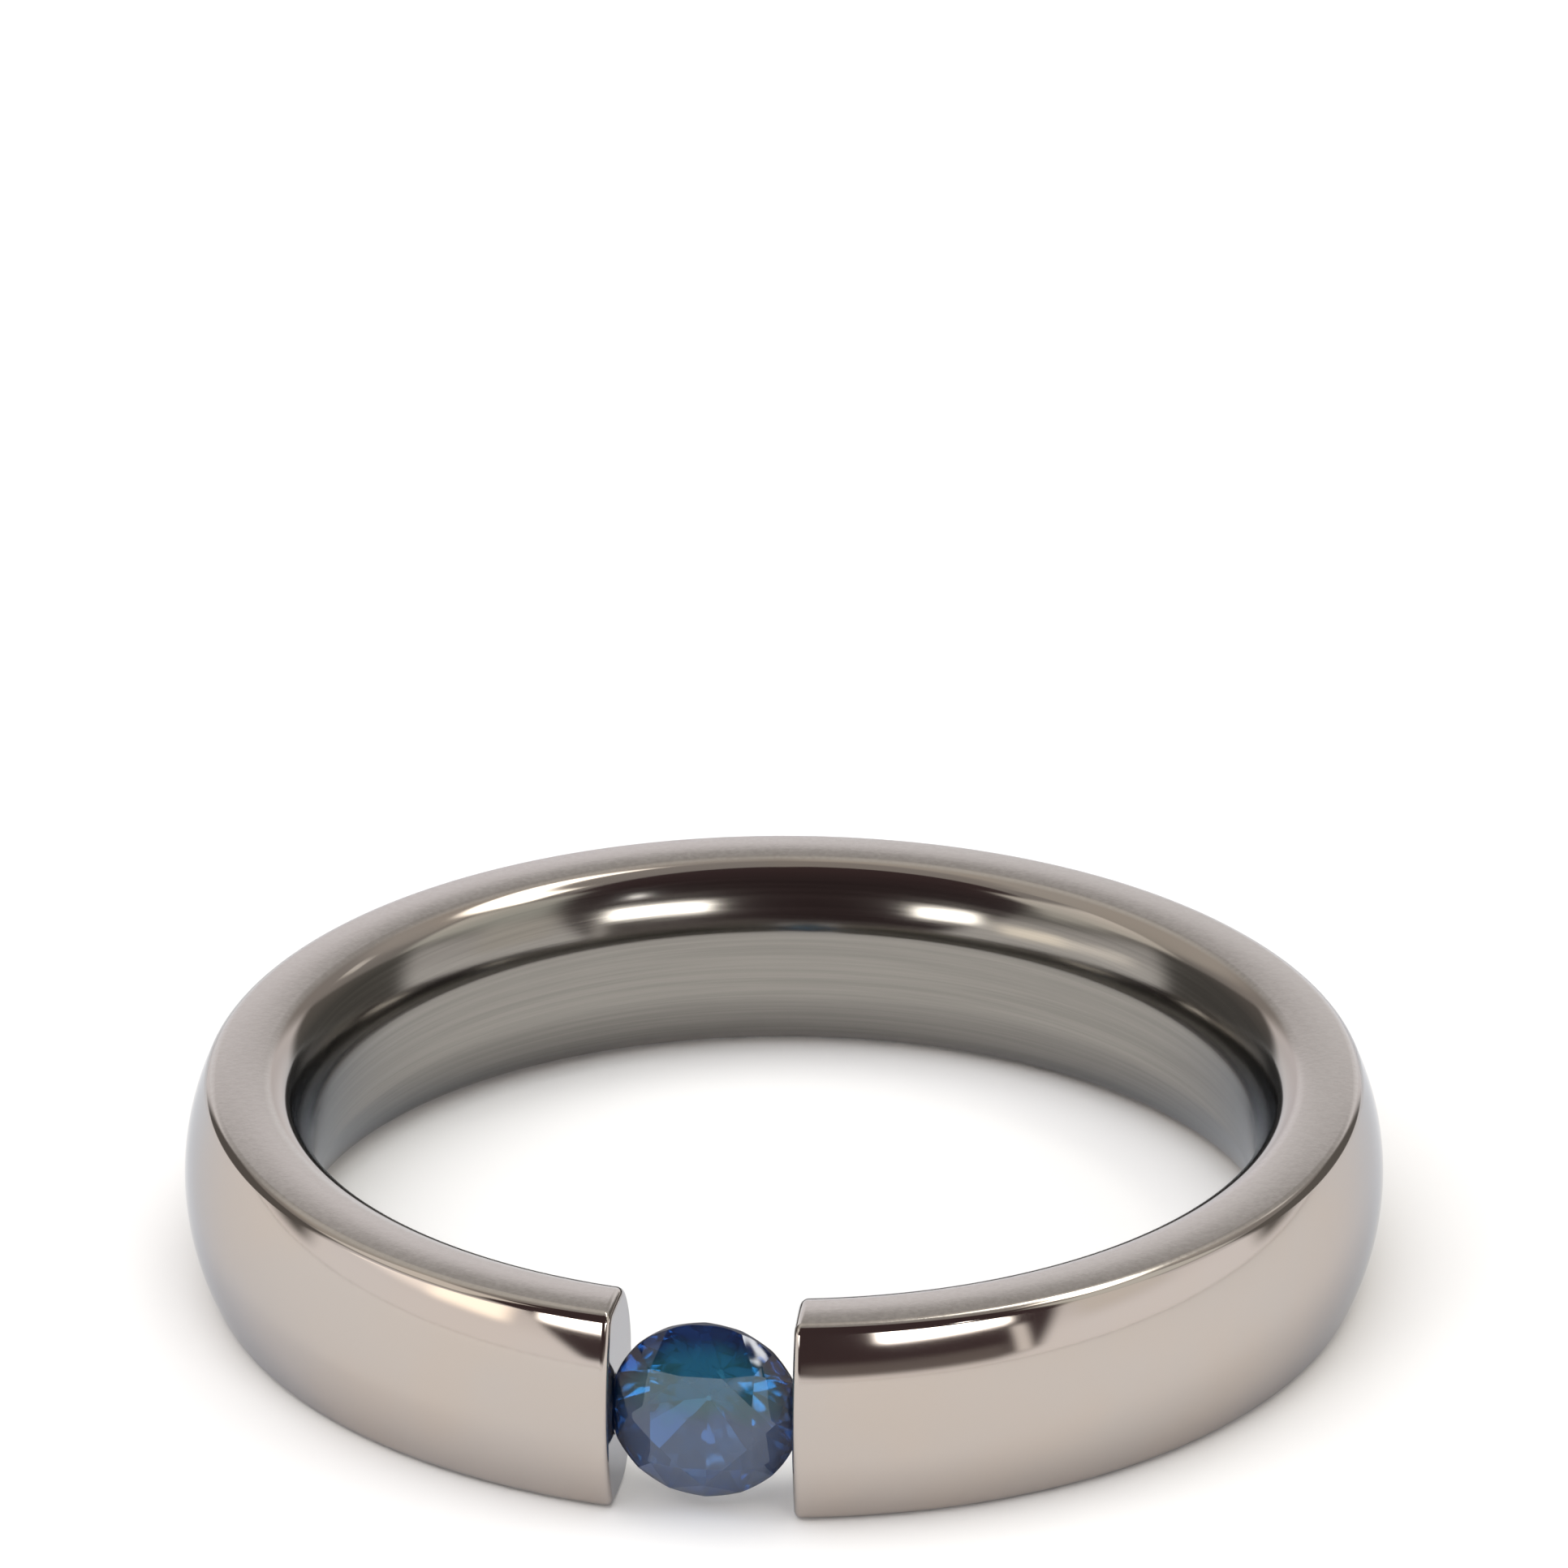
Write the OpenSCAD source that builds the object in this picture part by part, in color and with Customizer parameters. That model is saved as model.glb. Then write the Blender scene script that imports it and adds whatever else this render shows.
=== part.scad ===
// Plain titanium band ring, cut through at the front, with a round
// brilliant stone held by its edge between the two cut ends.
// The finger hole runs along Z and the ring lies on one side face.
// The origin is the middle of the finger hole, the stone is towards -Y.

/* [Band] */
// Finger hole diameter at its tightest place
bore_d = 16.5; // [16.1:0.1:17.3]
// Wall thickness at the crest of the domed outer face
wall = 2.25; // [2.15:0.05:2.6]
// Width of the band, along the finger
band_w = 3.65; // [3.45:0.05:4.2]
// Rise of the domed outer face over its two edges
dome = 0.44; // [0.3:0.02:0.5]
// Width of the straight middle of the inner wall
land_w = 1.2; // [1:0.1:1.4]
// How far the rounded shoulders of the inner wall open out at each side face
comfort = 0.63; // [0.57:0.02:0.69]
// Slope at which a shoulder leaves the straight middle, in degrees
shoulder_slope = 8; // [5:1:10]
// Rounding of the two outer edges
outer_round = 0.25; // [0.15:0.05:0.35]
// Rounding of the two inner edges
inner_round = 0.65; // [0.5:0.05:0.75]

/* [Gap and seat] */
// Distance between the two cut ends where they hold the stone's edge
gap = 3.04; // [2.95:0.01:3.1]
// How far each cut end leans, so that the gap opens towards the outside
gap_lean = 2.5; // [0:0.5:6]
// Play between the stone and the grooves that hold it
seat_play = 0.02; // [0.015:0.005:0.03]

/* [Stone] */
// Diameter of the stone
stone_d = 3.2; // [3.16:0.01:3.3]
// Corner radius of the table, as a share of the stone's radius
table_share = 0.58; // [0.54:0.01:0.62]
// Slope of the eight main facets of the crown, in degrees
crown_slope = 34; // [30:1:36]
// Slope of the eight main facets of the pavilion, in degrees
pavilion_slope = 38; // [36:0.5:39]
// Reach of the star facets from table to girdle
star_share = 0.52; // [0.45:0.01:0.6]
// Reach of the lower girdle facets from girdle to culet
lower_share = 0.76; // [0.7:0.01:0.8]
// Turn of the facets about the stone's own axis, in degrees
facet_turn = 22.5; // [0, 22.5]
// Thickness of the girdle where it is thickest
girdle_t = 0.12; // [0.09:0.01:0.14]
// Width of the tiny flat at the pavilion's tip
culet_d = 0.1; // [0.06:0.02:0.16]
// Clearance from the pavilion's tip to the finger hole
tip_clear = 0.1; // [0.08:0.01:0.14]

/* [Hidden] */
$fn = 128;

bore_r = bore_d / 2;
crest_r = bore_r + wall;
half_w = band_w / 2;

// outer dome: one arc, centred on the mid-plane
dome_r = (half_w * half_w + dome * dome) / (2 * dome);
dome_x = crest_r - dome_r;

// inner shoulders: one arc each, which leaves the straight middle at a small
// slope and has opened out by comfort where it reaches the side face
sh_h = half_w - land_w / 2;
sh_chord = atan(comfort / sh_h);
sh_r = norm([comfort, sh_h]) / (2 * sin(sh_chord - shoulder_slope));
sh_x = bore_r + sh_r * cos(shoulder_slope);
sh_z = land_w / 2 - sh_r * sin(shoulder_slope);

// centres of the edge roundings; each arc crosses its two faces at a low
// angle, ease, which breaks the edge softly
ease = 10;
out_k = outer_round * cos(ease);
out_z = half_w - out_k;
out_x = dome_x + sqrt(pow(dome_r - out_k, 2) - out_z * out_z);
in_k = inner_round * cos(ease);
in_z = half_w - in_k;
in_x = sh_x - sqrt(pow(sh_r - in_k, 2) - pow(in_z - sh_z, 2));

// stone: heights are measured from the middle of the girdle
stone_r = stone_d / 2;
half_g = girdle_t / 2;
// where a main facet reaches the girdle's height: it cuts a little into the
// girdle's edge, so that it ends in a short arc there
main_r = stone_r - 0.004;
table_r = stone_r * table_share;
table_z = half_g + (main_r - table_r) * tan(crown_slope);
tip_z = half_g + (main_r - culet_d / 2) * tan(pavilion_slope);
// distance from the ring's axis to the middle of the girdle
seat_r = bore_r + tip_clear + tip_z;

function unit(v) = v / norm(v);

// the sharp corner that lies outside a rounding with centre c and radius r,
// between the side face and the arc whose normal next to it is n
module corner(c, n, r) {
    difference() {
        polygon([c, c + 3 * r * n, c + 4 * r * unit(n + [0, 1]),
            c + [0, 3 * r]]);
        translate(c) circle(r = r);
    }
}

// all that a shoulder's arc leaves out, from the end of the straight middle up
module shoulder() {
    difference() {
        translate([bore_r - 1, land_w / 2])
            square([sh_x - bore_r + 1, band_w]);
        translate([sh_x, sh_z]) circle(r = sh_r);
    }
}

// the band's cross-section: X is the radius, Y the height
module section() {
    difference() {
        intersection() {
            translate([bore_r, -half_w]) square([wall + 1, band_w]);
            translate([dome_x, 0]) circle(r = dome_r);
        }
        for (m = [0, 1]) mirror([0, m]) {
            shoulder();
            corner([out_x, out_z], unit([out_x - dome_x, out_z]), outer_round);
            corner([in_x, in_z], unit([in_x - sh_x, in_z - sh_z]), inner_round);
        }
    }
}

// the room that the stone and its play take between the cut ends
module seat() {
    rr = stone_r + seat_play;
    hh = half_g + seat_play;
    up = rr * tan(crown_slope);
    down = rr * tan(pavilion_slope);
    rotate_extrude()
        polygon([[0, -hh - down], [rr, -hh], [rr, hh], [0, hh + up]]);
}

// carries something from the stone's own frame, table up, into the gap
module in_gap() {
    translate([0, -seat_r, 0]) rotate([90, 0, 0]) children();
}

// the wedge of wall that the gap leaves out, from inside the finger hole to
// past the crest
module slot() {
    near = seat_r - bore_r / 2;
    far = crest_r + 1 - seat_r;
    w_near = gap / 2 - near * tan(gap_lean);
    w_far = gap / 2 + far * tan(gap_lean);
    translate([0, -seat_r, -half_w - 1]) linear_extrude(band_w + 2)
        polygon([[-w_near, near], [w_near, near],
            [w_far, -far], [-w_far, -far]]);
}

module band() {
    color([0.74, 0.71, 0.68])
    difference() {
        rotate_extrude() section();
        slot();
        in_gap() seat();
    }
}

// all that lies under one facet: a plane that falls by slope towards the
// bearing az and meets the stone's axis at height h
module under(az, slope, h) {
    k = 3 * stone_d;
    rotate([0, 0, az]) translate([0, 0, h]) rotate([0, slope, 0])
        translate([-k / 2, -k / 2, -k]) cube(k);
}

// the facets of one side of a brilliant, as the solid under them all: eight
// mains at slope a, and sixteen girdle facets that meet the mains at radius
// pr and each other at the girdle's edge, at height half_g
module mains_and_girdle(a, pr) {
    pz = half_g + (main_r - pr * cos(22.5)) * tan(a);
    g_slope = atan((pz - half_g) / ((stone_r - pr) * cos(11.25)));
    intersection() {
        intersection_for(i = [0:7])
            under(45 * i, a, half_g + main_r * tan(a));
        intersection_for(i = [0:15])
            under(22.5 * i + 11.25, g_slope,
                half_g + stone_r * cos(11.25) * tan(g_slope));
    }
}

// the eight stars round the table, from its edge down to radius pr
module stars(a, pr) {
    pz = half_g + (main_r - pr * cos(22.5)) * tan(a);
    flat_r = table_r * cos(22.5);
    s_slope = atan((table_z - pz) / (pr - flat_r));
    intersection_for(i = [0:7])
        under(45 * i + 22.5, s_slope, table_z + flat_r * tan(s_slope));
}

module stone() {
    star_r = table_r * cos(22.5);
    crown_p = star_r + star_share * (stone_r - star_r);
    pavilion_p = (1 - lower_share) * stone_r;
    color([0.12, 0.26, 0.42])
    in_gap() rotate([0, 0, facet_turn]) intersection() {
        translate([0, 0, -tip_z]) cylinder(r = stone_r, h = tip_z + table_z);
        mains_and_girdle(crown_slope, crown_p);
        stars(crown_slope, crown_p);
        mirror([0, 0, 1]) mains_and_girdle(pavilion_slope, pavilion_p);
    }
}

band();
stone();
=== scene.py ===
"""Looks of a domed titanium band ring that holds a round blue brilliant between its two cut ends.

Everything is in metres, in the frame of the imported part: +Z runs along the finger hole, the ring lies on its
-Z side face, and the gap with the stone is towards -Y. Lengths in the tables below are in millimetres.
"""

import math

import bmesh
import bpy
import numpy as np
from mathutils import Matrix, Vector
from mathutils.geometry import delaunay_2d_cdt


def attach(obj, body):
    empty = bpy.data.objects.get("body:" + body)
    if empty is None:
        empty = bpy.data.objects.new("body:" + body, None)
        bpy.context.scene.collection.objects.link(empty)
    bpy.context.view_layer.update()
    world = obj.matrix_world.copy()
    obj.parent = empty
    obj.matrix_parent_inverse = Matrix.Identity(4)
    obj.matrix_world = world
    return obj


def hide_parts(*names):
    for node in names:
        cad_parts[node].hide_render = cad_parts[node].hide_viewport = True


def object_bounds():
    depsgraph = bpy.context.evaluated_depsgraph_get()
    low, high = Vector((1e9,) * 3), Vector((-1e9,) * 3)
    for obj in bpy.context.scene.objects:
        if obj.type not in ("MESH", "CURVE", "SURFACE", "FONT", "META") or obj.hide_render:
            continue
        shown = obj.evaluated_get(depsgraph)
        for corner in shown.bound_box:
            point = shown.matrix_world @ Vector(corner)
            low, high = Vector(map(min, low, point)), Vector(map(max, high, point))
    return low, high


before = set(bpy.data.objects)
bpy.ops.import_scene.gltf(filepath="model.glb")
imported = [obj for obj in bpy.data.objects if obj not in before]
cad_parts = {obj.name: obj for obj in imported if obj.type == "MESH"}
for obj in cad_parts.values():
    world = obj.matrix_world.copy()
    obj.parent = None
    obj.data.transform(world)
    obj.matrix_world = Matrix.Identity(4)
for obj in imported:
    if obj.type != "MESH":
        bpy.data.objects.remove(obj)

CAD_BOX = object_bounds()
MM = 0.001

# ---------------------------------------------------------------- sizes, in millimetres
BORE_R = 8.25        # finger hole
WALL = 2.25          # wall at the crest of the dome
HALF_W = 1.825       # half the band's width
DOME = 0.44          # rise of the dome over its edges
LAND = 0.6           # half of the straight middle of the inner wall
COMFORT = 0.63       # how far the inner shoulders open out
SHOULDER = math.radians(8.0)   # slope at which a shoulder leaves the straight middle
SOFT = 0.8           # radius of the soft corner between them
OUTER_ROUND = 0.25   # rounding of the outer edges
INNER_ROUND = 0.65   # rounding of the inner edges
SIDE_MIDDLE = 9.56   # radius at which a side face is highest
SIDE_CROWN = 6.5     # radius of its faint crown
HALF_GAP = 1.52      # half the distance between the cut ends, at the stone's edge
GAP_LEAN = math.radians(2.5)   # how far each cut end leans, so that the gap opens outwards
END_ROUND = 0.14     # rounding of the edges of the cut ends
STONE_R = 1.6
SEAT_PLAY = 0.02
HALF_GIRDLE = 0.06
TABLE_R = 0.928
CROWN = math.radians(34.0)
PAVILION = math.radians(38.0)
STAR_SHARE = 0.52
LOWER_SHARE = 0.76
STONE_TURN = 22.5    # turn of the facets about the stone's axis, in degrees
# the stone's body colours carry painted light: lighter violet-blue low, darker teal high, and navy painted shade at
# the rim
GEM_LOW_PAINTED_LIT = (0.085, 0.190, 0.440)     # the stone's body colours
GEM_HIGH_PAINTED_SHADE = (0.032, 0.225, 0.290)
GEM_PAINTED_RIM_SHADE = (0.018, 0.040, 0.125)
GEM_CLEAR = 0.80                    # share of light that goes through rather than scatters
MAIN_R = STONE_R - 0.004   # where a main facet reaches the girdle's height
TIP_Z = HALF_GIRDLE + (MAIN_R - 0.05) * math.tan(PAVILION)
TABLE_Z = HALF_GIRDLE + (MAIN_R - TABLE_R) * math.tan(CROWN)
SEAT_R = BORE_R + 0.1 + TIP_Z   # distance of the girdle from the ring's axis


# ---------------------------------------------------------------- camera
# A long lens from the front and above: it looks at a point above the ring, as the photograph is framed.
PHOTO_SIDE = 1932.0
PHOTO_FOCAL = 12544.0                # the photograph's focal length in its own pixels
CAM_DISTANCE = 178.8 * MM
CAM_AZIMUTH = math.radians(7.85)
CAM_ELEVATION = math.radians(25.82)
CAM_AIM_UP = math.radians(2.12)


def make_camera():
    data = bpy.data.cameras.new("camera")
    data.sensor_fit = "HORIZONTAL"
    data.sensor_width = 36.0
    data.lens = 36.0 * PHOTO_FOCAL / PHOTO_SIDE
    data.clip_start, data.clip_end = 0.01, 20.0
    cam = bpy.data.objects.new("camera", data)
    bpy.context.scene.collection.objects.link(cam)
    back = Vector((math.sin(CAM_AZIMUTH) * math.cos(CAM_ELEVATION),
                   -math.cos(CAM_AZIMUTH) * math.cos(CAM_ELEVATION),
                   math.sin(CAM_ELEVATION)))
    cam.location = back * CAM_DISTANCE
    aimed = CAM_ELEVATION - CAM_AIM_UP
    away = -Vector((math.sin(CAM_AZIMUTH) * math.cos(aimed), -math.cos(CAM_AZIMUTH) * math.cos(aimed),
                    math.sin(aimed)))
    cam.rotation_mode = "QUATERNION"
    cam.rotation_quaternion = away.to_track_quat("-Z", "Y")
    bpy.context.scene.camera = cam
    return cam


# ---------------------------------------------------------------- the band's cross-section
def arc(cx, cz, r, a0, a1, n):
    """n + 1 rows (x, z, normal x, normal z) along an arc from angle a0 to a1."""
    return [(cx + r * math.cos(a), cz + r * math.sin(a), math.cos(a), math.sin(a))
            for a in np.linspace(a0, a1, n + 1)]


def line(p, q, n, normal):
    return [(p[0] + (q[0] - p[0]) * t, p[1] + (q[1] - p[1]) * t, normal[0], normal[1])
            for t in np.linspace(0, 1, n + 1)]


def meet(c0, r0, c1, r1):
    """The upper crossing of two circles."""
    dx, dz = c1[0] - c0[0], c1[1] - c0[1]
    d = math.hypot(dx, dz)
    t = (d * d + r0 * r0 - r1 * r1) / (2 * d)
    h = math.sqrt(r0 * r0 - t * t)
    ends = [(c0[0] + (t * dx - s * h * dz) / d, c0[1] + (t * dz + s * h * dx) / d) for s in (1, -1)]
    return max(ends, key=lambda e: e[1])


def angle(c, p):
    return math.atan2(p[1] - c[1], p[0] - c[0])


def section():
    """The closed cross-section as rows (radius, height, outward normal), from the lower outer edge up the dome, over
    the upper side face, down the inner wall and back under the lower side face. No point comes twice."""
    crest = BORE_R + WALL
    dome_r = (HALF_W ** 2 + DOME ** 2) / (2 * DOME)
    dome_c = (crest - dome_r, 0.0)
    # an inner shoulder leaves the straight middle at a small slope, which a tight arc softens
    rise = HALF_W - LAND
    chord = math.atan(COMFORT / rise)
    sh_r = math.hypot(COMFORT, rise) / (2 * math.sin(chord - SHOULDER))
    sh_c = (BORE_R + sh_r * math.cos(SHOULDER), LAND - sh_r * math.sin(SHOULDER))
    soft_r = min(SOFT, sh_r / 2)
    soft_x = BORE_R + soft_r
    soft_z = sh_c[1] + math.sqrt((sh_r - soft_r) ** 2 - (sh_c[0] - soft_x) ** 2)
    soft_c = (soft_x, soft_z)
    # the side face is polished faintly round, highest in its middle
    side_c = (SIDE_MIDDLE, HALF_W - SIDE_CROWN)
    # each rounding touches the two faces that it joins
    out_c = meet(dome_c, dome_r - OUTER_ROUND, side_c, SIDE_CROWN - OUTER_ROUND)
    in_c = meet(side_c, SIDE_CROWN - INNER_ROUND, sh_c, sh_r - INNER_ROUND)
    half = []
    half += arc(*dome_c, dome_r, 0.0, angle(dome_c, out_c), 30)                              # dome, from its crest up
    half += arc(*out_c, OUTER_ROUND, angle(dome_c, out_c), angle(side_c, out_c), 12)[1:]     # outer edge
    half += arc(*side_c, SIDE_CROWN, angle(side_c, out_c), angle(side_c, in_c), 10)[1:]      # side face
    half += arc(*in_c, INNER_ROUND, angle(side_c, in_c), angle(sh_c, in_c), 16)[1:]           # inner edge
    half += arc(*sh_c, sh_r, angle(sh_c, in_c), angle(sh_c, soft_c), 18)[1:]                 # shoulder
    half += arc(*soft_c, soft_r, angle(sh_c, soft_c), math.pi, 4)[1:]                        # soft corner
    half += line((BORE_R, soft_z), (BORE_R, 0.0), 5, (-1.0, 0.0))[1:]                        # straight middle
    upper = np.array(half)
    lower = upper[1:-1][::-1] * np.array([1, -1, 1, -1])
    return np.vstack([upper, lower])


def link(name, mesh):
    obj = bpy.data.objects.new(name, mesh)
    bpy.context.scene.collection.objects.link(obj)
    return obj


def band_mesh():
    """The band as one closed mesh: the section swept round, rolled over at the edges of the cut ends, with a flat
    face on each end and the groove for the stone's edge in it."""
    prof = section()
    n = len(prof)
    r, z, nr, nz = prof.T
    turns = 420
    roll = 7
    rows_p, rows_n = [], []
    # The +X end is worked out turned about the ring's axis by the lean, so that its flat face is the plane x = cut.
    lean_c, lean_s = math.cos(GAP_LEAN), math.sin(GAP_LEAN)
    cut = HALF_GAP * lean_c - SEAT_R * lean_s
    turn = np.array([[lean_c, lean_s, 0], [-lean_s, lean_c, 0], [0, 0, 1.0]])

    def rolled(phi):
        """One row of the rounding at the +X end: phi 0 is on the wall, phi 90 degrees on the flat end."""
        d = END_ROUND * (1 - math.cos(phi))
        dd = END_ROUND * math.sin(phi)
        x = cut + END_ROUND * (1 - math.sin(phi))
        dx = -END_ROUND * math.cos(phi)
        rr, zz = r - d * nr, z - d * nz
        root = np.sqrt(rr ** 2 - x ** 2)
        p = np.stack([np.full(n, x), -root, zz], 1)
        along_phi = np.stack([np.full(n, dx), -(rr * (-dd * nr) - x * dx) / root, -dd * nz], 1)
        tr, tz = -nz, nr
        along_s = np.stack([np.zeros(n), -(rr * tr) / root, tz], 1)
        if phi > math.radians(89.9):
            nn = np.tile([-1.0, 0.0, 0.0], (n, 1))
        else:
            nn = np.cross(along_phi, along_s)
            nn /= np.linalg.norm(nn, axis=1)[:, None]
            out = np.stack([x / rr * nr, -root / rr * nr, nz], 1)
            nn *= np.sign(np.sum(nn * out, 1))[:, None]
        return p @ turn, nn @ turn

    ends = [rolled(a) for a in np.linspace(math.pi / 2, 0, roll + 1)]
    for p, nn in ends[:-1]:
        rows_p.append(p)
        rows_n.append(nn)
    start = np.arcsin((cut + END_ROUND) / r) + GAP_LEAN
    for t in np.linspace(0, 1, turns + 1):
        a = start + t * (2 * np.pi - 2 * start)      # from -Y towards +X
        s, c = np.sin(a), -np.cos(a)
        rows_p.append(np.stack([r * s, r * c, z], 1))
        rows_n.append(np.stack([nr * s, nr * c, nz], 1))
    flip = np.array([-1.0, 1.0, 1.0])
    for p, nn in ends[:-1][::-1]:
        rows_p.append(p * flip)
        rows_n.append(nn * flip)
    m = len(rows_p)
    co = np.concatenate(rows_p)
    no = np.concatenate(rows_n)
    faces = []
    normals = []
    for i in range(m - 1):
        for j in range(n):
            k = (j + 1) % n
            quad = (i * n + j, (i + 1) * n + j, (i + 1) * n + k, i * n + k)
            faces.append(quad)
            normals.append([no[q] for q in quad])

    # flat ends with the groove
    hh = HALF_GIRDLE + SEAT_PLAY
    rr = STONE_R + SEAT_PLAY
    lean = math.tan(GAP_LEAN)
    up = (rr - HALF_GAP - hh * lean) / (1 / math.tan(CROWN) + lean)
    down = (rr - HALF_GAP + hh * lean) / (1 / math.tan(PAVILION) - lean)
    heights = [-hh - down] + [-hh - down * t for t in (0.75, 0.5, 0.25)] + [-hh, 0.0, hh] \
        + [hh + up * t for t in (0.25, 0.5, 0.75)] + [hh + up]
    cols = 16
    for side in (1.0, -1.0):
        base = (0 if side > 0 else (m - 1) * n)
        rim = list(range(base, base + n))
        loop = []
        grid = []
        for h in heights:
            radius = rr - max(0.0, (h - hh) / math.tan(CROWN), (-hh - h) / math.tan(PAVILION))
            flat_x = HALF_GAP + h * lean
            reach = math.acos(min(1.0, flat_x / radius))
            if reach < 1e-6:
                us = [0.0]
            else:
                us = np.linspace(-1, 1, cols + 1)
            grid.append([])
            for u in us:
                x, zz = radius * math.cos(u * reach), radius * math.sin(u * reach)
                if abs(abs(u) - 1) < 1e-9 or reach < 1e-6:
                    x = flat_x
                grid[-1].append(len(co))
                co = np.vstack([co, [side * x, -(SEAT_R + h), zz]])
        # outline of the groove in the flat end
        loop = [row[0] for row in grid] + [row[-1] for row in grid[1:-1][::-1]]
        pts = rim + loop
        # coordinates in the flat face: across the wall, and along Z
        def in_face(i):
            return np.array([-co[i][0] * side * lean_s + co[i][1] * lean_c, co[i][2]])

        flat = [Vector(in_face(i)) for i in pts]
        nn = len(rim)
        edges = [(i, (i + 1) % nn) for i in range(nn)] + \
                [(nn + i, nn + (i + 1) % len(loop)) for i in range(len(loop))]
        vs, _, tris, vo, _, _ = delaunay_2d_cdt(flat, edges, [], 0, 1e-7, True)
        if len(vs) != len(pts):
            raise RuntimeError("the flat end's outline crosses itself")
        back = {new: pts[old[0]] for new, old in enumerate(vo)}
        hole = np.array([in_face(i) for i in loop])
        outer = np.array([in_face(i) for i in rim])

        def inside(q, poly):
            a, b = poly, np.roll(poly, -1, 0)
            hit = (a[:, 1] > q[1]) != (b[:, 1] > q[1])
            with np.errstate(divide="ignore", invalid="ignore"):
                cross = (b[:, 0] - a[:, 0]) * (q[1] - a[:, 1]) / (b[:, 1] - a[:, 1]) + a[:, 0]
            return bool(np.sum(hit & (q[0] < cross)) % 2)

        for tri in tris:
            ids = [back[t] for t in tri]
            mid = np.mean([in_face(i) for i in ids], 0)
            if inside(mid, hole) or not inside(mid, outer):
                continue
            # counter-clockwise in (y, z) faces +X; the +X end's flat face looks to -X
            if side > 0:
                ids = ids[::-1]
            faces.append(tuple(ids))
            normals.append([[-side * lean_c, -lean_s, 0.0]] * 3)

        def groove_normal(i, h):
            x, _, zz = co[i]
            v = np.array([-x, 0.0, -zz])
            v /= np.linalg.norm(v)
            if h > hh + 1e-9:      # crown side, towards the outside of the ring
                return v * math.sin(CROWN) + np.array([0.0, math.cos(CROWN), 0.0])
            if h < -hh - 1e-9:
                return v * math.sin(PAVILION) + np.array([0.0, -math.cos(PAVILION), 0.0])
            return v

        for a in range(len(grid) - 1):
            mid_h = (heights[a] + heights[a + 1]) / 2
            low, high = grid[a], grid[a + 1]
            for b in range(cols):
                if len(low) == 1:
                    ids = [low[0], high[b], high[b + 1]]
                elif len(high) == 1:
                    ids = [low[b], high[0], low[b + 1]]
                else:
                    ids = [low[b], high[b], high[b + 1], low[b + 1]]
                want = np.mean([groove_normal(i, mid_h) for i in ids], 0)
                got = np.cross(co[ids[1]] - co[ids[0]], co[ids[2]] - co[ids[0]])
                if np.dot(want, got) < 0:
                    ids = ids[::-1]
                faces.append(tuple(ids))
                normals.append([groove_normal(i, mid_h) for i in ids])

    mesh = bpy.data.meshes.new("band_mesh")
    mesh.from_pydata((co * MM).tolist(), [], faces)
    mesh.update()
    # the sweep's faces must look out
    first = mesh.polygons[roll * n + 3]
    if first.normal.dot(Vector(normals[roll * n + 3][0])) < 0:
        raise RuntimeError("the band's faces look inwards")
    mesh.polygons.foreach_set("use_smooth", [True] * len(mesh.polygons))
    mesh.normals_split_custom_set([tuple(v) for face in normals for v in face])
    mesh.update()
    return mesh


# ---------------------------------------------------------------- the stone
def facet_planes():
    """(normal, distance) of the 57 facets in the stone's own frame, table up, heights from the girdle's middle."""
    def plane(azimuth, slope, height):
        a = math.radians(azimuth + STONE_TURN)
        nrm = Vector((math.cos(a) * math.sin(slope), math.sin(a) * math.sin(slope), math.cos(slope)))
        return nrm, height * math.cos(slope)

    def side(slope, meet):
        """Eight mains and sixteen girdle facets."""
        z = HALF_GIRDLE + (MAIN_R - meet * math.cos(math.radians(22.5))) * math.tan(slope)
        g = math.atan((z - HALF_GIRDLE) / ((STONE_R - meet) * math.cos(math.radians(11.25))))
        out = [plane(45 * i, slope, HALF_GIRDLE + MAIN_R * math.tan(slope)) for i in range(8)]
        out += [plane(22.5 * i + 11.25, g,
                      HALF_GIRDLE + STONE_R * math.cos(math.radians(11.25)) * math.tan(g)) for i in range(16)]
        return out, z

    star_r = TABLE_R * math.cos(math.radians(22.5))
    crown_meet = star_r + STAR_SHARE * (STONE_R - star_r)
    crown, z = side(CROWN, crown_meet)
    slope = math.atan((TABLE_Z - z) / (crown_meet - star_r))
    crown += [plane(45 * i + 22.5, slope, TABLE_Z + star_r * math.tan(slope)) for i in range(8)]
    pavilion, _ = side(PAVILION, (1 - LOWER_SHARE) * STONE_R)
    pavilion = [(Vector((p.x, p.y, -p.z)), d) for p, d in pavilion]
    return crown + pavilion


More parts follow.
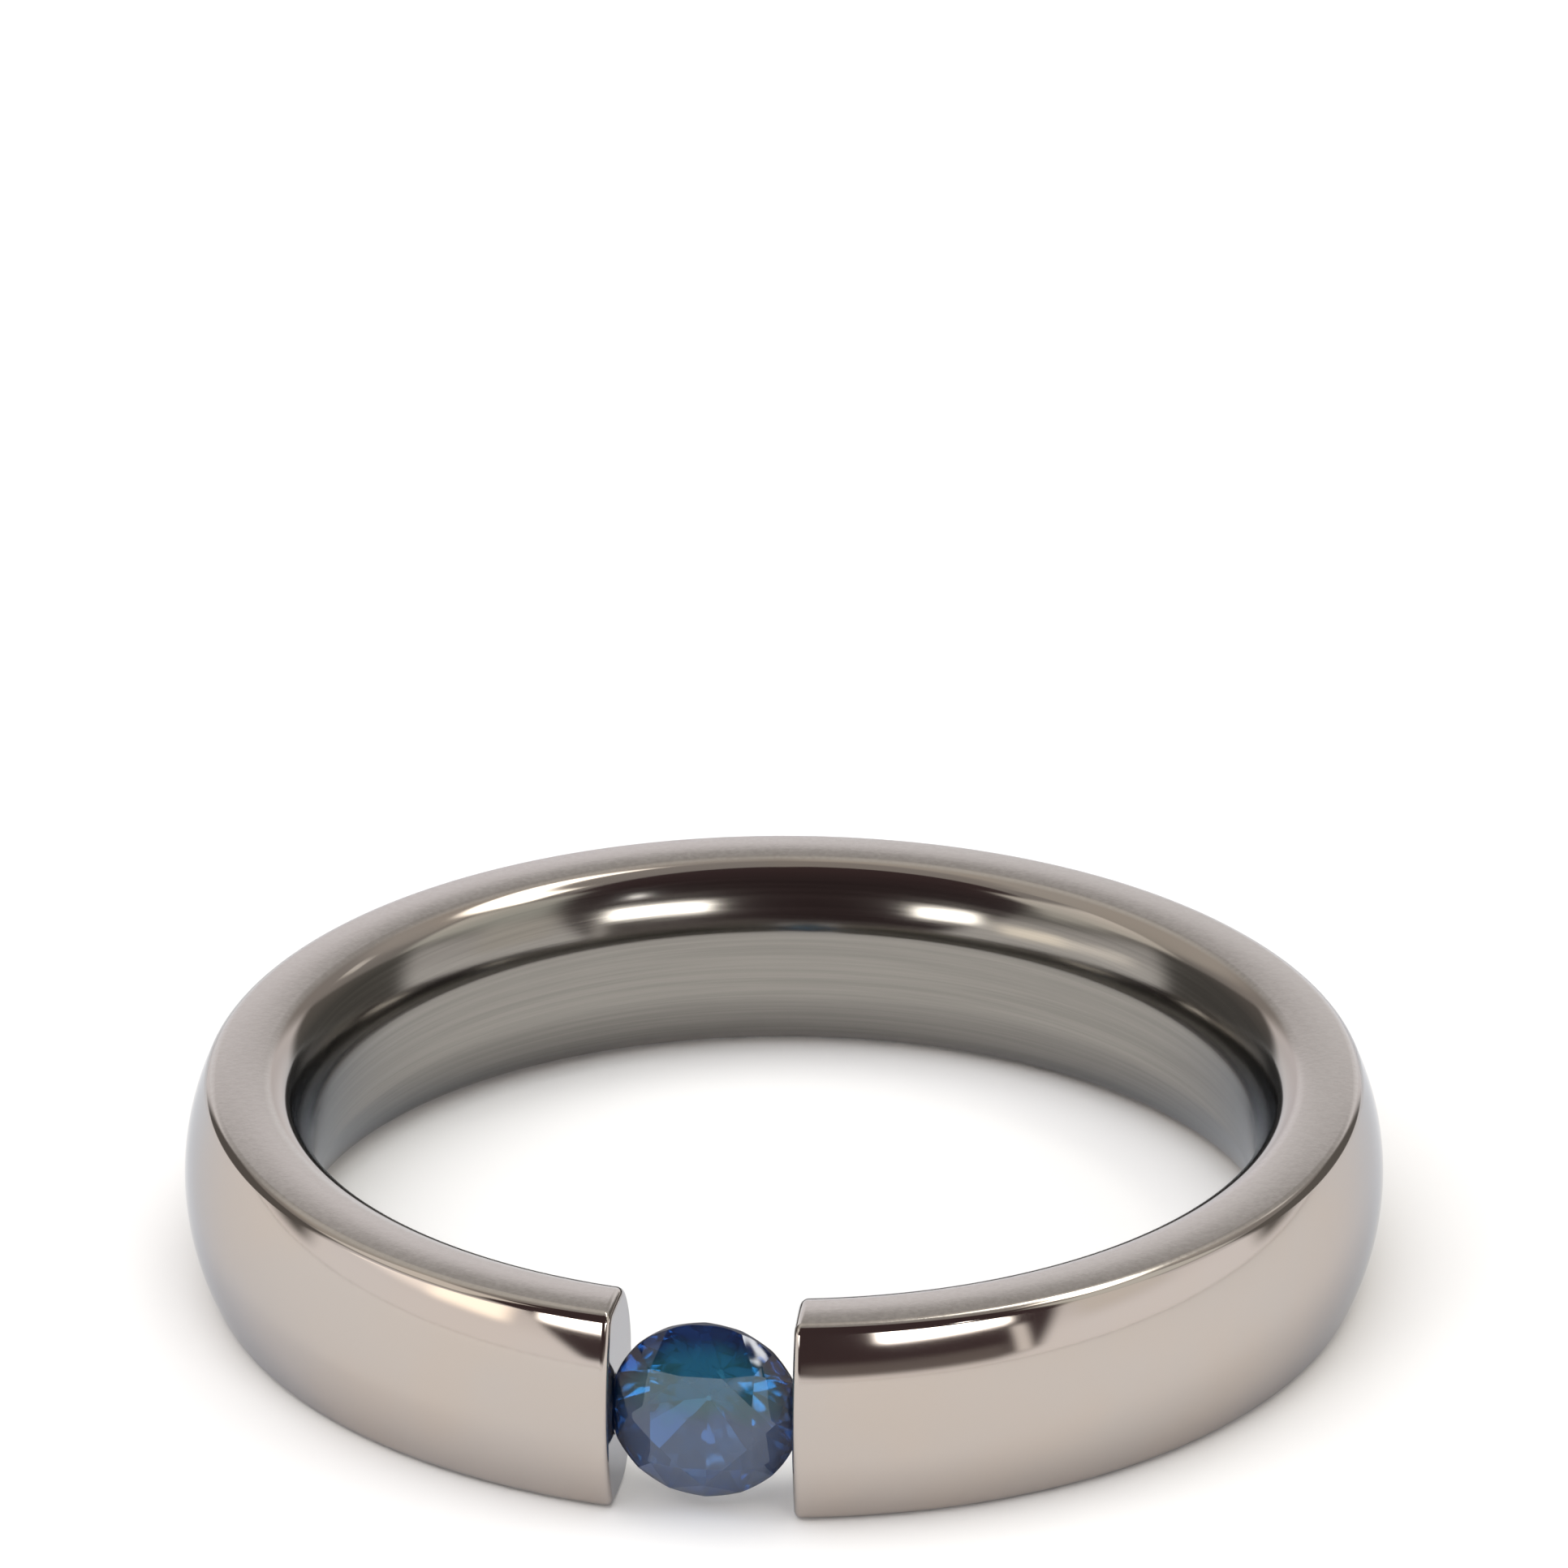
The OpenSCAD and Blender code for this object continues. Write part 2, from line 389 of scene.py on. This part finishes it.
def stone_mesh():
    """The brilliant as one closed mesh with flat facets and a round girdle."""
    bm = bmesh.new()
    steps = 192
    low = [bm.verts.new((STONE_R * math.cos(2 * math.pi * i / steps), STONE_R * math.sin(2 * math.pi * i / steps),
                         -TIP_Z)) for i in range(steps)]
    high = [bm.verts.new((v.co.x, v.co.y, TABLE_Z)) for v in low]
    bm.faces.new(low[::-1])
    bm.faces.new(high)
    for i in range(steps):
        j = (i + 1) % steps
        bm.faces.new((low[i], low[j], high[j], high[i])).material_index = 1
    for nrm, dist in facet_planes():
        geom = bm.verts[:] + bm.edges[:] + bm.faces[:]
        cut = bmesh.ops.bisect_plane(bm, geom=geom, dist=1e-6, plane_co=nrm * dist, plane_no=nrm, clear_outer=True)
        edges = [e for e in cut["geom_cut"] if isinstance(e, bmesh.types.BMEdge) and len(e.link_faces) == 1]
        if edges:
            bmesh.ops.edgeloop_fill(bm, edges=edges, mat_nr=0)
    bmesh.ops.remove_doubles(bm, verts=bm.verts[:], dist=1e-5)
    bmesh.ops.dissolve_degenerate(bm, edges=bm.edges[:], dist=1e-5)
    bmesh.ops.recalc_face_normals(bm, faces=bm.faces[:])
    for f in bm.faces:
        f.smooth = f.material_index == 1
    for e in bm.edges:
        e.smooth = len(e.link_faces) == 2 and all(f.smooth for f in e.link_faces)
    # from the stone's own frame into the gap, table towards -Y
    bm.transform(Matrix.Translation((0, -SEAT_R, 0)) @ Matrix.Rotation(math.radians(90), 4, "X"))
    bm.transform(Matrix.Scale(MM, 4))
    mesh = bpy.data.meshes.new("stone_mesh")
    bm.to_mesh(mesh)
    bm.free()
    return mesh


# ---------------------------------------------------------------- materials
def nodes_of(name):
    mat = bpy.data.materials.new(name)
    mat.use_nodes = True
    tree = mat.node_tree
    tree.nodes.clear()
    return mat, tree


def sums(tree, op, *values):
    """A Math node; each value is a number or a socket."""
    node = tree.nodes.new("ShaderNodeMath")
    node.operation = op
    for i, v in enumerate(values):
        if isinstance(v, (int, float)):
            node.inputs[i].default_value = v
        else:
            tree.links.new(v, node.inputs[i])
    return node.outputs[0]


def ramp(tree, value, lo, hi):
    """0 below lo, 1 above hi and a smooth step between; falls if lo is above hi."""
    node = tree.nodes.new("ShaderNodeMapRange")
    node.interpolation_type = "SMOOTHSTEP"
    node.inputs["From Min"].default_value = min(lo, hi)
    node.inputs["From Max"].default_value = max(lo, hi)
    node.inputs["To Min"].default_value = 0.0 if lo < hi else 1.0
    node.inputs["To Max"].default_value = 1.0 if lo < hi else 0.0
    tree.links.new(value, node.inputs["Value"])
    return node.outputs["Result"]


def mixed(tree, mask, a, b):
    """Colour a where the mask is 0, b where it is 1."""
    node = tree.nodes.new("ShaderNodeMix")
    node.data_type = "RGBA"
    tree.links.new(mask, node.inputs[0])
    for v, socket in ((a, node.inputs[6]), (b, node.inputs[7])):
        if isinstance(v, tuple):
            socket.default_value = (*v, 1)
        else:
            tree.links.new(v, socket)
    return node.outputs[2]


def noise(tree, vector, scale, detail=2.0, rough=0.5):
    node = tree.nodes.new("ShaderNodeTexNoise")
    node.inputs["Scale"].default_value = scale
    node.inputs["Detail"].default_value = detail
    node.inputs["Roughness"].default_value = rough
    tree.links.new(vector, node.inputs["Vector"])
    return node.outputs["Fac"]


def vector(tree, x, y, z):
    node = tree.nodes.new("ShaderNodeCombineXYZ")
    for v, socket in zip((x, y, z), node.inputs):
        if isinstance(v, (int, float)):
            socket.default_value = v
        else:
            tree.links.new(v, socket)
    return node.outputs[0]


def spread(tree, value, lo, hi):
    """Carries 0..1 over to lo..hi."""
    return sums(tree, "MULTIPLY_ADD", value, hi - lo, lo)


def object_mm(tree):
    """The surface point in the object's own frame, in millimetres, as x, y, z and as a vector."""
    coord = tree.nodes.new("ShaderNodeTexCoord")
    scale = tree.nodes.new("ShaderNodeVectorMath")
    scale.operation = "SCALE"
    scale.inputs["Scale"].default_value = 1000.0
    tree.links.new(coord.outputs["Object"], scale.inputs[0])
    parts = tree.nodes.new("ShaderNodeSeparateXYZ")
    tree.links.new(scale.outputs[0], parts.inputs[0])
    return (*parts.outputs, scale.outputs[0])


def titanium():
    """Grey titanium in three finishes: the dome and the edges mirror-polished, the side faces lapped to a satin, and
    the finger hole turned and brushed, its colour darkened with painted shade. Each has its fine marks round the ring."""
    mat, tree = nodes_of("polished_titanium")
    out = tree.nodes.new("ShaderNodeOutputMaterial")
    bsdf = tree.nodes.new("ShaderNodeBsdfPrincipled")
    bsdf.inputs["Metallic"].default_value = 1.0
    bsdf.inputs["Specular Tint"].default_value = (0.71, 0.75, 0.81, 1)
    x, y, z, point = object_mm(tree)
    r = sums(tree, "SQRT", sums(tree, "ADD", sums(tree, "MULTIPLY", x, x), sums(tree, "MULTIPLY", y, y)))
    # the turn round the ring jumps behind the gap's middle, where there is no metal
    turn = sums(tree, "ARCTAN2", x, y)
    up = sums(tree, "ABSOLUTE", z)
    side = ramp(tree, up, HALF_W - 0.055, HALF_W - 0.025)
    hole = sums(tree, "MULTIPLY", ramp(tree, r, 9.0, 8.6), ramp(tree, up, HALF_W - 0.03, HALF_W - 0.35))
    end = sums(tree, "MULTIPLY", ramp(tree, sums(tree, "ABSOLUTE", x), 1.66, 1.60), ramp(tree, y, 0.0, -1.0))
    hole = sums(tree, "MULTIPLY", hole, sums(tree, "SUBTRACT", 1.0, end))

    # fine marks that run round the ring, and slow clouds
    marks = noise(tree, vector(tree, sums(tree, "MULTIPLY", turn, 1.6), sums(tree, "MULTIPLY", r, 14.0),
                               sums(tree, "MULTIPLY", z, 14.0)), 1.0, 3.0, 0.6)
    grain = noise(tree, point, 9.0, 3.0, 0.6)
    clouds = noise(tree, point, 0.35, 2.0, 0.5)

    # colour: a neutral grey with a slight warm and cool drift; the brushed hole is darker, which is painted shade
    polished = mixed(tree, ramp(tree, clouds, 0.35, 0.65), (0.470, 0.414, 0.373), (0.461, 0.417, 0.387))
    satin = mixed(tree, ramp(tree, grain, 0.3, 0.7), (0.560, 0.522, 0.492), (0.600, 0.562, 0.530))
    # painted shade: the finger hole's colour is darker than the rest of the metal, with a little tone from its brush
    # marks
    brushed_painted_shade = mixed(tree, ramp(tree, marks, 0.3, 0.7), (0.240, 0.228, 0.210), (0.285, 0.270, 0.248))
    colour = mixed(tree, hole, mixed(tree, side, polished, satin), brushed_painted_shade)
    tree.links.new(colour, bsdf.inputs["Base Color"])

    # roughness
    mirror = spread(tree, clouds, 0.055, 0.095)
    lapped = spread(tree, grain, 0.11, 0.21)
    turned = spread(tree, marks, 0.10, 0.19)
    rough = sums(tree, "ADD", mirror, sums(tree, "MULTIPLY", side, sums(tree, "SUBTRACT", lapped, mirror)))
    rough = sums(tree, "ADD", rough, sums(tree, "MULTIPLY", hole, sums(tree, "SUBTRACT", turned, rough)))
    tree.links.new(rough, bsdf.inputs["Roughness"])

    # relief, in millimetres: marks everywhere, grain on the side faces
    deep = sums(tree, "MULTIPLY_ADD", hole, 0.00045, 0.00005)
    height = sums(tree, "MULTIPLY", marks, sums(tree, "MULTIPLY_ADD", side, 0.0003, deep))
    height = sums(tree, "ADD", height, sums(tree, "MULTIPLY", grain, sums(tree, "MULTIPLY", side, 0.0009)))
    height = sums(tree, "ADD", height, sums(tree, "MULTIPLY", clouds, 0.002))
    bump = tree.nodes.new("ShaderNodeBump")
    bump.inputs["Strength"].default_value = 1.0
    bump.inputs["Distance"].default_value = MM
    tree.links.new(height, bump.inputs["Height"])
    tree.links.new(bump.outputs[0], bsdf.inputs["Normal"])
    tree.links.new(bsdf.outputs[0], out.inputs["Surface"])
    return mat


def gem(name, rough):
    """Blue corundum with a slight milkiness: clear for the most part, with painted light in its colour: darker teal
    above the middle and lighter violet-blue below it, for the brighter view through its lower half, and navy painted
    shade along its upper rim and its two flanks, for the dark metal and room that its edge facets show."""
    mat, tree = nodes_of(name)
    out = tree.nodes.new("ShaderNodeOutputMaterial")
    bsdf = tree.nodes.new("ShaderNodeBsdfPrincipled")
    x, y, z, point = object_mm(tree)
    silk = noise(tree, point, 1.6, 3.0, 0.55)
    # painted light: darker teal above the middle and lighter violet-blue below it, for the brighter view through the
    # stone's lower half; the silk noise makes the change drift at random
    drift = sums(tree, "MULTIPLY_ADD", silk, 0.9, sums(tree, "SUBTRACT", z, 0.45))
    body = mixed(tree, ramp(tree, drift, -0.1, 0.5), GEM_LOW_PAINTED_LIT, GEM_HIGH_PAINTED_SHADE)
    # painted shade and reflection: navy along the upper rim and both flanks, for the dark cut ends and room that the
    # edge facets show
    rim = sums(tree, "SQRT", sums(tree, "ADD", sums(tree, "MULTIPLY", x, x), sums(tree, "POWER", sums(tree, "ADD", z, 0.15), 2.0)))
    painted_rim_shade = ramp(tree, sums(tree, "ADD", rim, sums(tree, "MULTIPLY", silk, 0.3)), 1.40, 1.78)
    tree.links.new(mixed(tree, painted_rim_shade, body, GEM_PAINTED_RIM_SHADE), bsdf.inputs["Base Color"])
    bsdf.inputs["Transmission Weight"].default_value = GEM_CLEAR
    bsdf.inputs["IOR"].default_value = 1.77
    tree.links.new(spread(tree, silk, rough, rough + 0.03), bsdf.inputs["Roughness"])
    # worn facets: they wave by about a degree
    bump = tree.nodes.new("ShaderNodeBump")
    bump.inputs["Strength"].default_value = 1.0
    bump.inputs["Distance"].default_value = MM
    tree.links.new(sums(tree, "MULTIPLY", noise(tree, point, 2.2, 0.0, 0.5), 0.015), bump.inputs["Height"])
    tree.links.new(bump.outputs[0], bsdf.inputs["Normal"])
    tree.links.new(bsdf.outputs[0], out.inputs["Surface"])
    vol = tree.nodes.new("ShaderNodeVolumeAbsorption")
    vol.inputs["Color"].default_value = (0.04, 0.485, 0.69, 1)
    vol.inputs["Density"].default_value = 600.0
    tree.links.new(vol.outputs[0], out.inputs["Volume"])
    return mat


# ---------------------------------------------------------------- floor and light
def make_floor():
    mesh = bpy.data.meshes.new("floor_mesh")
    s = 1.5
    z = CAD_BOX[0].z
    mesh.from_pydata([(-s, -s, z), (s, -s, z), (s, s, z), (-s, s, z)], [], [(0, 1, 2, 3)])
    obj = link("floor", mesh)
    mat, tree = nodes_of("floor")
    out = tree.nodes.new("ShaderNodeOutputMaterial")
    bsdf = tree.nodes.new("ShaderNodeBsdfDiffuse")
    bsdf.inputs["Color"].default_value = (0.925, 0.930, 0.940, 1)
    tree.links.new(bsdf.outputs[0], out.inputs["Surface"])
    mesh.materials.append(mat)
    return obj


# The room that the polished metal shows: soft boxes and dark cards, by bearing (0 is towards the camera, positive to
# its right) and height above the horizon, in degrees, and their brightness. An upright edge at bearing b that leans by
# k is at b + k * height.
ROOM = [
    # bearing from, lean, to, lean, soft, height from, to, soft, colour
    (-34, -0.85, 46, 0.4, 4, 3, 89, 3, (0.075, 0.050, 0.052)),        # the open front, dark
    (3, 0, 42, 0, 8, 2, 8, 4, (0.22, 0.19, 0.18)),                    # its lighter foot
    (-44, -0.15, -30, -0.1, 4, 16, 26, 3, (9.0, 8.8, 8.4)),           # lamp on the left
    (18, 0, 43, 0, 4, 17, 27, 3, (9.0, 8.8, 8.4)),                    # lamp on the right
    (43, 0, 46, 0, 2, 3, 15, 2, (1.2, 1.15, 1.1)),                    # a thin upright strip
    (-90, 0, -66, 0, 8, 11, 18, 4, (1.9, 1.8, 1.7)),                  # warm strips on both sides
    (-70, 0, -53, 0, 5, 11, 19, 4, (2.6, 2.4, 2.1)),
    (57, 0, 78, 0, 6, 11, 30, 6, (1.05, 1.0, 0.93)),                  # soft box on the right
    (60, 0, 106, 0, 8, 30, 52, 8, (0.95, 0.95, 0.88)),                # grey wall above it
    (-112, 0, -68, 0, 6, 32, 56, 6, (1.1, 1.06, 0.98)),               # high soft box on the left
    (-180, 0, -112, 0, 8, 36, 66, 8, (0.62, 0.59, 0.54)),             # grey walls high at the back
    (112, 0, 180, 0, 8, 42, 66, 8, (0.55, 0.52, 0.48)),
    (86, 0, 162, 0, 10, 55, 65, 4, (4.5, 4.4, 4.0)),                  # long ceiling lamp
    (-148, 0, -100, 0, 8, 2, 29, 4, (0.17, 0.16, 0.15)),              # dark cards towards the back
    (100, 0, 148, 0, 8, 2, 29, 4, (0.19, 0.18, 0.165)),
    (-210, 0, -165, 0, 30, 8, 25, 4, (1.07, 1.02, 1.02)),             # light wall at the back, to the left
    (133, 0, 143, 0, 4, 36, 41, 3, (1.0, 0.97, 0.9)),                 # a faint patch on the inner edge
    (36.5, 0, 39.5, 0, 1.5, 35.7, 38.5, 1.5, (9.0, 9.0, 9.0)),        # a small lamp that the stone shows
]


def make_world():
    world = bpy.data.worlds.new("studio")
    world.use_nodes = True
    tree = world.node_tree
    bg = tree.nodes["Background"]
    bg.inputs["Strength"].default_value = 1.0
    coord = tree.nodes.new("ShaderNodeTexCoord")
    turn = tree.nodes.new("ShaderNodeVectorRotate")
    turn.rotation_type = "Z_AXIS"
    turn.inputs["Angle"].default_value = -CAM_AZIMUTH
    tree.links.new(coord.outputs["Generated"], turn.inputs["Vector"])
    parts = tree.nodes.new("ShaderNodeSeparateXYZ")
    tree.links.new(turn.outputs[0], parts.inputs[0])
    x, y, z = parts.outputs
    bearing = sums(tree, "DEGREES", sums(tree, "ARCTAN2", x, sums(tree, "MULTIPLY", y, -1.0)))
    height = sums(tree, "DEGREES", sums(tree, "ARCSINE", z))
    sky = mixed(tree, ramp(tree, height, 6, 20), (1.25, 1.22, 1.20), (1.00, 0.965, 0.95))
    sky = mixed(tree, ramp(tree, height, 22.5, 30.5), sky, (0.40, 0.38, 0.36))
    for b0, k0, b1, k1, bs, h0, h1, hs, colour in ROOM:
        left = sums(tree, "SUBTRACT", bearing, sums(tree, "MULTIPLY", height, float(k0))) if k0 else bearing
        right = sums(tree, "SUBTRACT", bearing, sums(tree, "MULTIPLY", height, float(k1))) if k1 else bearing
        sides = sums(tree, "MULTIPLY", ramp(tree, left, b0 - bs / 2, b0 + bs / 2),
                     ramp(tree, right, b1 + bs / 2, b1 - bs / 2))
        heights = sums(tree, "MULTIPLY", ramp(tree, height, h0 - hs / 2, h0 + hs / 2),
                       ramp(tree, height, h1 + hs / 2, h1 - hs / 2))
        sky = mixed(tree, sums(tree, "MULTIPLY", sides, heights), sky, colour)
    # what is seen behind the floor stays plain
    path = tree.nodes.new("ShaderNodeLightPath")
    seen = mixed(tree, path.outputs["Is Camera Ray"], sky, (0.96, 0.95, 0.945))
    tree.links.new(seen, bg.inputs["Color"])
    bpy.context.scene.world = world


def make_lamp():
    """One large soft lamp above, in front and a little to the left. It lights the floor, and the metal doesn't show
    it."""
    data = bpy.data.lights.new("overhead", "AREA")
    data.shape = "DISK"
    data.size = 0.9
    data.energy = 3.7
    data.color = (1.0, 1.0, 1.0)
    lamp = bpy.data.objects.new("overhead", data)
    bpy.context.scene.collection.objects.link(lamp)
    lamp.location = (-0.11, -0.12, 0.58)
    lamp.rotation_mode = "QUATERNION"
    lamp.rotation_quaternion = lamp.location.to_track_quat("Z", "Y")
    lamp.visible_glossy = False
    lamp.visible_camera = False


make_camera()
make_floor()
make_world()
make_lamp()
bpy.context.scene.view_settings.view_transform = "Standard"

band = link("titanium_band", band_mesh())
band.data.materials.append(titanium())
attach(band, "root")
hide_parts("band")

stone = link("brilliant", stone_mesh())
stone.data.materials.append(gem("blue_stone", 0.03))
stone.data.materials.append(gem("blue_stone_girdle", 0.35))
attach(stone, "root")
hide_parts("stone")
